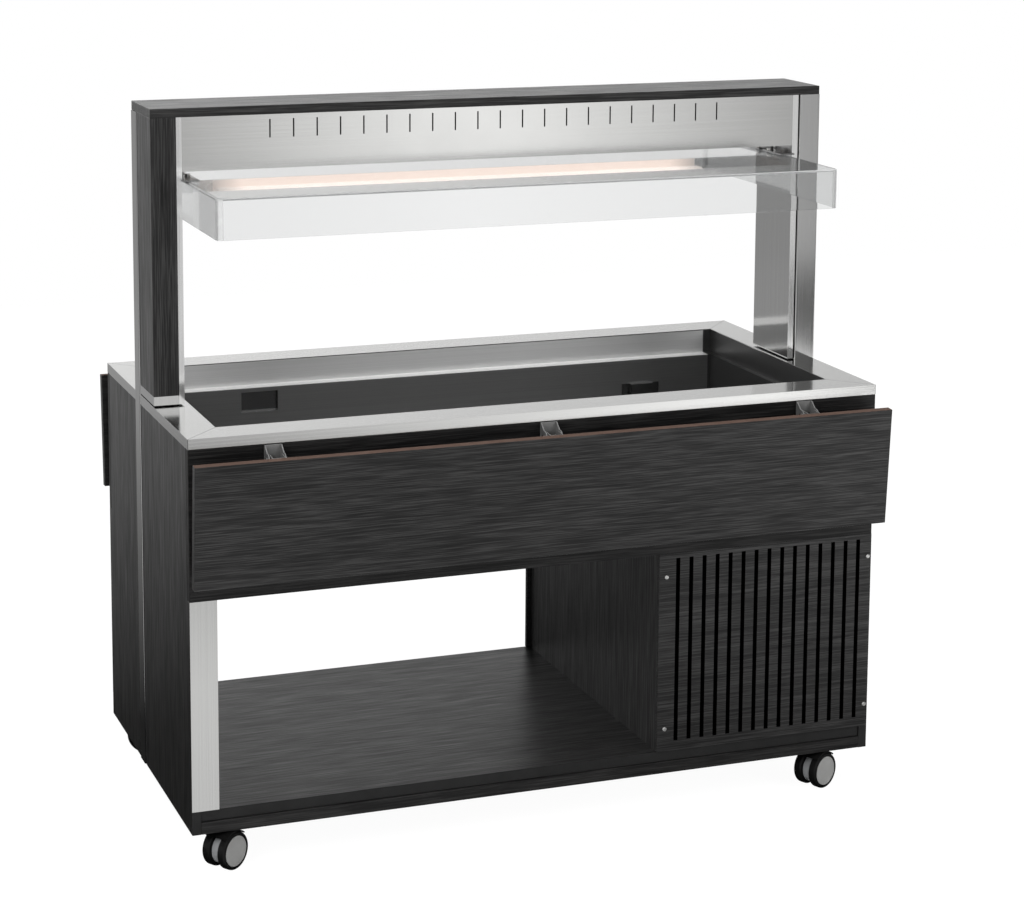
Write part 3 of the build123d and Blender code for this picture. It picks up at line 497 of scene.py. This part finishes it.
finishes = {
    "table_rim": rimSteel, "well_tub": wellSteel, "well_insulation": foam, "well_bearers": laminateAlong,
    "well_fittings": fittingSteel, "drain_pipe": smallSteel, "drain_lever": smallSteel,
    "top_board": laminateAlong, "bridge_shell": steelAlong, "lamp_carrier": steelAlong,
    "lamp_housing": lampWhite, "lamp_diffuser": lampWhite, "lamp_driver": blackPlastic,
    "canopy": clearAcrylic, "canopy_brackets": fittingSteel, "screws": smallSteel,
    "front_fascia": laminateMatt, "rear_fascia": laminateMatt, "left_side_panels": laminateUpright,
    "right_side_panels": laminateUpright, "left_inner_wall": laminateUpright, "edge_covers": steelUpright,
    "divider": laminateUpright, "base_board": laminateShelf, "ceiling_panel": laminateAlong,
    "plinths": laminateMatt, "front_grille": laminateAlong, "rear_service_panel": laminateAlong,
    "control_unit": blackPlastic, "main_rocker": blackPlastic, "lamp_rocker": blackPlastic,
    "front_flap": laminateAlong, "rear_flap": laminateAlong, "front_flap_arms": zincPlate,
    "rear_flap_arms": zincPlate, "flap_consoles": zincPlate, "flap_pivots": smallSteel,
    "flap_buffers": bufferRubber, "unit_tray": steelAlong, "compressor": blackPaint, "condenser": finMetal,
    "fan_frame": blackPaint, "fan_rotor": finMetal, "refrigerant_pipes": copper, "columns": postSteel,
    "post_liners": paintedLitLinerSteel, "post_claddings": laminateUpright, "caster_plates": smallSteel,
}


def finishFor(name):
    if name in finishes:
        return finishes[name]
    return greyPlastic if name.startswith("caster_hood") else tyreRubber


for name, node in nodes.items():
    node.data.materials.clear()
    node.data.materials.append(finishFor(name))
print("finishes given to", len(nodes), "nodes")

corners = ("front_left", "front_right", "rear_left", "rear_right")
facing = 0.9  # a face counts as facing an axis when its normal reaches this


def secondFinish(name, material, chosen):
    node = nodes[name]
    node.data.materials.append(material)
    for face in node.data.polygons:
        face.material_index = 1 if chosen(face) else 0


def facesFrontOrRear(face):
    return abs(face.normal.y) > facing


# Slots of the panels and the bridge: black inside as painted shade, up to a little way in from the sheet's
# ends
slots = {"panels": ["front_grille", "rear_service_panel", "bridge_shell"], "ends": 0.003, "turned": 0.5}


def paintSlotShade(name):
    low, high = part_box(name)
    inset = Vector((slots["ends"], 0, slots["ends"]))
    first, last = low + inset, high - inset

    def inSlot(face):
        within = first.x < face.center.x < last.x and first.z < face.center.z < last.z
        return within and abs(face.normal.y) < slots["turned"]

    secondFinish(name, paintedShadeBlack, inSlot)


for name in slots["panels"]:
    paintSlotShade(name)

# Mudguards of the casters: black, from this distance off the axle
guardReach = 0.036


def blackenGuard(corner):
    joint = joints["left_wheel_" + corner + "_roll"]
    axle, middle = Vector(joint["axis"]), Vector(joint["pos_m"])

    def onGuard(face):
        off = face.center - middle
        return (off - axle * off.dot(axle)).length > guardReach

    secondFinish("caster_hood_" + corner, tyreRubber, onGuard)


for corner in corners:
    blackenGuard(corner)

# Dark edge band on the boards that show a front edge
for name in ("base_board", "left_side_panels", "right_side_panels"):
    secondFinish(name, edgeBand, facesFrontOrRear)

# Columns, front and rear: steel above the table, black below it where they are let into the sides, as
# painted shade in the joint
columnGapShade = (0.008, 0.008, 0.008, 1)


def makeColumnShade():
    material = postSteel.copy()
    material.name = "columnJointShade"
    tree = material.node_tree
    shader = tree.nodes["Principled BSDF"]
    above = calc(tree, "GREATER_THAN", split(tree, objectPlace(tree))[2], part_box("table_rim")[0].z)
    steel = shader.inputs["Base Color"].links[0].from_socket
    tree.links.new(blendColour(tree, above, columnGapShade, steel), shader.inputs["Base Color"])
    tree.links.new(above, shader.inputs["Metallic"])
    return material


secondFinish("columns", makeColumnShade(), facesFrontOrRear)

# Front and rear folds of the post liners, above the base bands: a brighter copy of the steel as a painted
# highlight
foldStart = 0.90
secondFinish("post_liners", paintedHighlightSteel, lambda face: facesFrontOrRear(face) and face.center.z > foldStart)
print("second finishes given")

# Soft edges on the solids: bevel width by node
edges = {
    "board": 0.0010,
    "sheet": 0.0004,
    "segments": 2,
    "sharpest": 50,
    "weld": 0.00002,
    "boards": ["front_fascia", "rear_fascia", "left_side_panels", "right_side_panels", "divider",
               "base_board", "plinths", "post_claddings"],
    "sheets": ["table_rim", "edge_covers", "flap_consoles", "canopy_brackets", "post_liners"],
}


def softenEdges(node, width):
    weld = node.modifiers.new("weld", "WELD")
    weld.merge_threshold = edges["weld"]
    bevel = node.modifiers.new("softEdge", "BEVEL")
    bevel.width = width
    bevel.segments = edges["segments"]
    bevel.limit_method = "ANGLE"
    bevel.angle_limit = math.radians(edges["sharpest"])
    bevel.harden_normals = False


for name in edges["boards"]:
    softenEdges(nodes[name], edges["board"])
for name in edges["sheets"]:
    softenEdges(nodes[name], edges["sheet"])
print("edges softened")


# Mesh helpers

def makePiece(name, bm, materials, body, smooth=35):
    bmesh.ops.recalc_face_normals(bm, faces=bm.faces[:])
    mesh = bpy.data.meshes.new(name)
    bm.to_mesh(mesh)
    bm.free()
    for material in materials:
        mesh.materials.append(material)
    mesh.shade_smooth()
    mesh.set_sharp_from_angle(angle=math.radians(smooth))
    piece = bpy.data.objects.new(name, mesh)
    flat = piece.modifiers.new("flatFaces", "WEIGHTED_NORMAL")
    flat.keep_sharp = True
    scene.collection.objects.link(piece)
    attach(piece, body)
    return piece


def addBox(bm, corner, opposite):
    corner, opposite = Vector(corner), Vector(opposite)
    size = [abs(length) for length in opposite - corner]
    place = Matrix.Translation((corner + opposite) / 2) @ Matrix.Diagonal((*size, 1))
    bmesh.ops.create_cube(bm, size=1.0, matrix=place)


def boxMesh(low, high):
    bm = bmesh.new()
    addBox(bm, low, high)
    return bm


def roundEdges(bm, chosen, radius, segments):
    bmesh.ops.bevel(bm, geom=chosen, offset=radius, affect="EDGES", segments=segments, profile=0.5,
                    material=-1, clamp_overlap=True)


tiny = 1e-6  # points closer than this count as one


def upright(edge):
    first, second = (vert.co for vert in edge.verts)
    return abs(first.x - second.x) + abs(first.y - second.y) < tiny


# Canopy: one clear hood in place of its bonded sheets
canopy = {"corner": 0.012, "cornerSteps": 6, "edge": 0.0025, "edgeSteps": 3, "sheet": 0.005, "flat": 0.999}


def makeCanopy():
    low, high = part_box("canopy")
    bm = boxMesh(low, high)
    roundEdges(bm, [edge for edge in bm.edges if upright(edge)], canopy["corner"], canopy["cornerSteps"])
    bm.normal_update()
    roof = [face for face in bm.faces if face.normal.z > facing]
    roundEdges(bm, [edge for face in roof for edge in face.edges], canopy["edge"], canopy["edgeSteps"])
    bm.normal_update()
    floor = [face for face in bm.faces if face.normal.z < -facing]
    bmesh.ops.delete(bm, geom=floor, context="FACES_ONLY")
    bmesh.ops.solidify(bm, geom=bm.faces[:], thickness=canopy["sheet"])
    bm.normal_update()
    for face in bm.faces:
        # flat faces clear; rounded edges and corners take the painted highlight
        face.material_index = 0 if max(abs(part) for part in face.normal) > canopy["flat"] else 1
    piece = makePiece("canopyHood", bm, [clearAcrylic, paintedEdgeHighlight], "trolley", smooth=30)
    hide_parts("canopy")


makeCanopy()

# Black sheets inside the bridge, behind its slots: painted shade
shadeSheet = {"gap": 0.006, "sheet": 0.001, "ends": 0.05, "top": 0.006}


def makeSlotShade():
    low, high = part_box("bridge_shell")
    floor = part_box("lamp_carrier")[1].z
    bm = bmesh.new()
    for side in (-1, 1):
        outer = side * (high.y - shadeSheet["gap"])
        inner = outer - side * shadeSheet["sheet"]
        first = (low.x + shadeSheet["ends"], outer, floor)
        last = (high.x - shadeSheet["ends"], inner, high.z - shadeSheet["top"])
        addBox(bm, first, last)
    makePiece("slotShadeSheets", bm, [blackPaint], "trolley")


makeSlotShade()

# Black sheet behind the front panel's slots: painted shade
grilleShadeSize = {"gap": 0.004, "sheet": 0.002}


def makeGrilleShade():
    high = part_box("front_grille")[1]
    back = high.y + grilleShadeSize["gap"]
    first = Vector((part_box("divider")[1].x, back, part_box("base_board")[1].z))
    last = Vector((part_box("right_side_panels")[0].x, back + grilleShadeSize["sheet"], high.z))
    makePiece("grilleShadeSheet", boxMesh(first, last), [paintedShadeBlack], "trolley")


makeGrilleShade()

# Black strips in the gap between each post's liner and its bare column, one in front and one behind: painted
# shadow in the gap
postGap = {"fold": 0.013, "column": 0.0475, "deep": 0.001, "sheet": 0.002}


def makePostGapShade():
    low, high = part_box("post_liners")
    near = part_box("bridge_shell")[1].x + postGap["fold"]
    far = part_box("columns")[1].x - postGap["column"]
    outer = high.y - postGap["deep"]
    inner = outer - postGap["sheet"]
    bm = bmesh.new()
    for side in (-1, 1):
        addBox(bm, (-side * near, side * outer, low.z), (-side * far, side * inner, high.z))
    makePiece("postGapShade", bm, [paintedShadeBlack], "trolley")


makePostGapShade()

# Black strips in the joint between each column and the side panel next to it: painted shadow in the joint
sideGap = {"start": 0.036, "end": 0.041, "deep": 0.0030, "sheet": 0.002}


def makeSideGapShade():
    low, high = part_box("left_side_panels")
    outer = low.x + sideGap["deep"]
    inner = outer + sideGap["sheet"]
    bm = bmesh.new()
    for side in (-1, 1):
        first = (-side * outer, -side * sideGap["start"], low.z)
        last = (-side * inner, -side * sideGap["end"], high.z)
        addBox(bm, first, last)
    makePiece("sideGapShade", bm, [paintedShadeBlack], "trolley")


makeSideGapShade()

# Pale strip behind the lamp that glows with the lamp's warm light: painted light standing for the lamp's
# light on the skirt
glowStrip = {"sheet": 0.0006, "gap": 0.0004, "low": 0.0003, "high": 0.002, "skirt": 0.002}


def makeLampGlowStrip():
    low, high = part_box("lamp_housing")
    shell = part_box("bridge_shell")
    back = shell[1].y - glowStrip["skirt"] - glowStrip["gap"]
    first = Vector((low.x, back - glowStrip["sheet"], shell[0].z + glowStrip["low"]))
    last = Vector((high.x, back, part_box("lamp_carrier")[0].z - glowStrip["high"]))
    makePiece("paintedLampGlow", boxMesh(first, last), [lampWhite], "trolley")


makeLampGlowStrip()
# the screens and seals above are painted shade
print("canopy, screens and seals made")

# Folding tray slides: boards with a bare core edge at the top
flap = {"edge": 0.0010, "edgeSteps": 2, "topFacing": 0.7}


def makeFlap(side):
    joint = joints[side + "_flap_hinge"]
    low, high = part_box(side + "_flap")
    # the board's own height and thickness, from its box and its lean off plumb
    tilt = math.radians(joint["range_deg"][1] - 90)
    cosine, sine = math.cos(tilt), math.sin(tilt)
    size = high - low
    spread = cosine ** 2 - sine ** 2
    tall = (size.z * cosine - size.y * sine) / spread
    thick = (size.y * cosine - size.z * sine) / spread
    half = Vector((size.x, thick, tall)) / 2
    bm = boxMesh(-half, half)
    roundEdges(bm, bm.edges[:], flap["edge"], flap["edgeSteps"])
    bm.normal_update()
    for face in bm.faces:
        face.material_index = 1 if face.normal.z > flap["topFacing"] else 0
    lean = Matrix.Rotation(tilt if side == "front" else -tilt, 4, "X")
    bmesh.ops.transform(bm, matrix=Matrix.Translation((low + high) / 2) @ lean, verts=bm.verts)
    piece = makePiece(side + "FlapBoard", bm, [laminateAlong, flapCore], side + "_flap")
    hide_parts(side + "_flap")


for side in ("front", "rear"):
    makeFlap(side)
print("flaps made")

# Caster wheels: black tyre, grey cap with a raised rim
wheel = {
    "width": 0.019, "crown": 0.0375, "shoulder": 0.0045, "lip": 0.0315, "cap": 0.0300, "capRim": 0.0275,
    "capRise": 0.0006, "groove": 0.0012, "bore": 0.0041, "dish": 0.012, "dishDepth": (0.00096, 0.00108),
    "boreStep": 0.001, "lipStep": 0.0004, "capStep": 0.0003, "steps": 64, "arcSteps": 6,
}


def wheelProfile():
    # (distance from the axle, distance along it), from the inner face round to the outer cap
    half = wheel["width"] / 2
    crown, shoulder = wheel["crown"], wheel["shoulder"]
    tyre = [(wheel["bore"], -half + wheel["boreStep"]), (wheel["lip"], -half)]
    for centre, first in ((-half + shoulder, -90), (half - shoulder, 0)):
        for step in range(wheel["arcSteps"] + 1):
            angle = math.radians(first + 90 * step / wheel["arcSteps"])
            tyre.append((crown - shoulder + shoulder * math.cos(angle), centre + shoulder * math.sin(angle)))
    groove, rise = half - wheel["groove"], wheel["capRise"]
    tyre += [(wheel["lip"], half), (wheel["lip"] - wheel["lipStep"], groove)]
    cap = [(wheel["cap"] + wheel["capStep"], groove), (wheel["cap"], half - wheel["lipStep"])]
    cap += [(wheel["cap"] - rise, half), (wheel["capRim"], half), (wheel["capRim"] - rise, half - rise)]
    cap += [(radius, half - depth) for radius, depth in zip((wheel["dish"], 0.0), wheel["dishDepth"])]
    return tyre, cap


def makeWheel(side, corner):
    name = side + "_wheel_" + corner
    joint = joints[name + "_roll"]
    axle = Vector(joint["axis"])
    outward = axle if side == "right" else -axle
    place = Matrix.Translation(joint["pos_m"]) @ outward.to_track_quat("Z", "Y").to_matrix().to_4x4()
    bm = bmesh.new()
    for index, outline in enumerate(wheelProfile()):
        verts = [bm.verts.new((radius, 0, along)) for radius, along in outline]
        rim = [bm.edges.new(pair) for pair in zip(verts, verts[1:])]
        before = set(bm.faces)
        bmesh.ops.spin(bm, geom=verts + rim, cent=(0, 0, 0), axis=(0, 0, 1), angle=2 * math.pi,
                       steps=wheel["steps"], use_merge=True)
        for face in set(bm.faces) - before:
            face.material_index = index
    bmesh.ops.remove_doubles(bm, verts=bm.verts, dist=tiny)
    bmesh.ops.transform(bm, matrix=place, verts=bm.verts)
    piece = makePiece(side + "Wheel." + corner, bm, [tyreRubber, capPlastic], name, smooth=40)
    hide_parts(name)


for corner in corners:
    for side in ("left", "right"):
        makeWheel(side, corner)
print("wheels made")

# Floor, world, lamps and camera
studio = {
    "floorSize": 11.0,
    "floorColour": (0.80, 0.80, 0.80, 1),
    "floorGlow": 0.9,
    "floorWhite": 1.07,
    "ambient": 0.40,
    "frontSlope": (0.2, 2.3, 0.52, 1.60),
    # nearShade: painted shadow on the floor close in front of the trolley, seen only in reflections
    "nearShade": (-2.2, -0.8, 1.0, 0.5),
    "nearFront": (-3.0, -1.4, 0.0, 0.57),
    "nearSide": (-0.4, 0.5, 1.0, 0.0),
    # darkRight and darkFar: a painted dark corner in the floor's reflection
    "darkRight": (2.60, 2.66, 0.0, 0.92),
    "darkFar": (-3.7, -3.4, 1.0, 0.0),
    "backFloor": (0.5, 3.6, 0.02, 0.36),
    "backStart": -0.40,
    "frontBelow": 0.38,
    "frontBump": 1.30,
    "bumpAt": 0.34,
    "bumpReach": 0.14,
    "frontAbove": (0.33, 0.46, 1.0, 0.1),
    "frontHorizon": (-0.06, 0.05),
    "backBelow": 0.34,
    "backSide": (0.22, 0.50, 1.07, 0.75),
    "backLow": (0.113, 0.121, 2.15, 0.86),
    "backRise": (0.15, 0.20, 1.0, 1.20),
    "backHigh": (0.20, 0.38, 0.92, 0.36),
    "backHorizon": (-0.06, 0.03),
    "sideBlend": (-0.5, 0.1),
}


def seenRays(tree):
    path = addNode(tree, "ShaderNodeLightPath")
    direct = calc(tree, "MAXIMUM", path.outputs["Is Camera Ray"], path.outputs["Is Transmission Ray"])
    return direct, path.outputs["Is Glossy Ray"]


def glow(tree, strength):
    node = addNode(tree, "ShaderNodeEmission")
    feed(tree, node.inputs["Strength"], strength)
    return node.outputs[0]


def mixShaders(tree, factor, first, second):
    node = addNode(tree, "ShaderNodeMixShader")
    feed(tree, node.inputs["Fac"], factor)
    tree.links.new(first, node.inputs[1])
    tree.links.new(second, node.inputs[2])
    return node.outputs[0]


def floorMirror(tree):
    # how bright the floor looks in steel, a painted reflection seen only by glossy rays: pale in front, with
    # a painted shadow close in front of the trolley, a dark corner far right, and dark beside and close
    # behind
    x, y, z = split(tree, objectPlace(tree))

    def level(alongX, alongY):
        return calc(tree, "MULTIPLY", remap(tree, x, *studio[alongX]), remap(tree, y, *studio[alongY]))

    dark = level("darkRight", "darkFar")
    front = calc(tree, "MULTIPLY", level("frontSlope", "nearShade"), calc(tree, "SUBTRACT", 1.0, dark))
    front = calc(tree, "ADD", front, level("nearSide", "nearFront"))
    back = remap(tree, y, *studio["backFloor"])
    return blendValue(tree, calc(tree, "GREATER_THAN", y, studio["backStart"]), front, back)


def makeFloor():
    bm = bmesh.new()
    bmesh.ops.create_grid(bm, x_segments=1, y_segments=1, size=studio["floorSize"] / 2)
    mesh = bpy.data.meshes.new("paleFloor")
    bm.to_mesh(mesh)
    bm.free()
    floor = bpy.data.objects.new("paleFloor", mesh)
    scene.collection.objects.link(floor)
    material = bpy.data.materials.new("paleFloor")
    material.use_nodes = True
    tree = material.node_tree
    tree.nodes.remove(tree.nodes["Principled BSDF"])
    diffuse = addNode(tree, "ShaderNodeBsdfDiffuse")
    diffuse.inputs["Color"].default_value = studio["floorColour"]
    direct, mirrorRay = seenRays(tree)
    white = mixShaders(tree, studio["floorGlow"], diffuse.outputs[0], glow(tree, studio["floorWhite"]))
    shown = mixShaders(tree, direct, diffuse.outputs[0], white)
    shown = mixShaders(tree, mirrorRay, shown, glow(tree, floorMirror(tree)))
    tree.links.new(shown, tree.nodes["Material Output"].inputs["Surface"])
    mesh.materials.append(material)


def worldMirror(tree, vector):
    # what steel sees past the floor: a bright patch low in front, a front that darkens
    # to the right, and a pale back
    x, y, z = split(tree, vector)
    off = calc(tree, "ABSOLUTE", calc(tree, "SUBTRACT", x, studio["bumpAt"]))
    below = studio["frontBelow"]
    patch = remap(tree, off, 0.0, studio["bumpReach"], below + studio["frontBump"], below)
    above = remap(tree, x, *studio["frontAbove"])
    front = blendValue(tree, remap(tree, z, *studio["frontHorizon"]), patch, above)
    back = remap(tree, x, *studio["backSide"])
    for key in ("backLow", "backRise", "backHigh"):
        back = calc(tree, "MULTIPLY", back, remap(tree, z, *studio[key]))
    back = blendValue(tree, remap(tree, z, *studio["backHorizon"]), studio["backBelow"], back)
    return blendValue(tree, remap(tree, y, *studio["sideBlend"]), front, back)


def makeWorld():
    world = bpy.data.worlds.new("studio")
    scene.world = world
    world.use_nodes = True
    tree = world.node_tree
    tree.nodes.clear()
    where = addNode(tree, "ShaderNodeTexCoord")
    shade = worldMirror(tree, where.outputs["Generated"])
    direct, mirrorRay = seenRays(tree)
    level = calc(tree, "MAXIMUM", calc(tree, "MULTIPLY", shade, mirrorRay), direct)
    rest = calc(tree, "SUBTRACT", 1.0, calc(tree, "MAXIMUM", direct, mirrorRay))
    level = calc(tree, "ADD", level, calc(tree, "MULTIPLY", rest, studio["ambient"]))
    back = addNode(tree, "ShaderNodeBackground")
    back.inputs["Color"].default_value = (1, 1, 1, 1)
    tree.links.new(level, back.inputs["Strength"])
    out = addNode(tree, "ShaderNodeOutputWorld")
    tree.links.new(back.outputs[0], out.inputs["Surface"])


softboxes = {
    "leftKey": {"place": (-3.6, -2.4, 3.0), "aim": (0, 0, 0.9), "size": (2.2, 2.2), "power": 150},
    "rightFront": {"place": (3.2, -3.4, 2.6), "aim": (0.2, 0, 0.6), "size": (2.2, 2.2), "power": 130},
    "overhead": {"place": (0.2, -0.4, 4.2), "aim": (0, 0, 0.9), "size": (3.0, 2.0), "power": 90},
    "backFill": {"place": (0.5, 4.4, 2.8), "aim": (0, 0, 0.8), "size": (3.0, 2.0), "power": 90},
}


def makeSoftbox(name, box):
    light = bpy.data.lights.new(name, "AREA")
    light.shape = "RECTANGLE"
    light.size, light.size_y = box["size"]
    light.energy = box["power"]
    lampObject = bpy.data.objects.new(name, light)
    lampObject.location = box["place"]
    direction = Vector(box["aim"]) - Vector(box["place"])
    lampObject.rotation_euler = direction.to_track_quat("-Z", "Y").to_euler()
    lampObject.visible_camera = False
    lampObject.visible_glossy = False
    lampObject.visible_transmission = False
    scene.collection.objects.link(lampObject)


view = {
    "place": (-1.8229, -4.9198, 2.0163),
    "yaw": -19.8,
    "tilt": 81.57,
    "roll": 0.212,
    "lens": 89.31,
    "sensor": 36,
    "shift": (0.0483, -0.2507),
}


def makeCamera():
    data = bpy.data.cameras.new("photoView")
    data.sensor_width = view["sensor"]
    data.lens = view["lens"]
    data.shift_x, data.shift_y = view["shift"]
    camera = bpy.data.objects.new("photoView", data)
    turn = Matrix.Identity(4)
    for key, axis in (("yaw", "Z"), ("tilt", "X"), ("roll", "Z")):
        turn = turn @ Matrix.Rotation(math.radians(view[key]), 4, axis)
    camera.matrix_world = Matrix.Translation(view["place"]) @ turn
    scene.collection.objects.link(camera)
    scene.camera = camera


makeFloor()
makeWorld()
for name, box in softboxes.items():
    makeSoftbox(name, box)
makeCamera()
print("studio made")
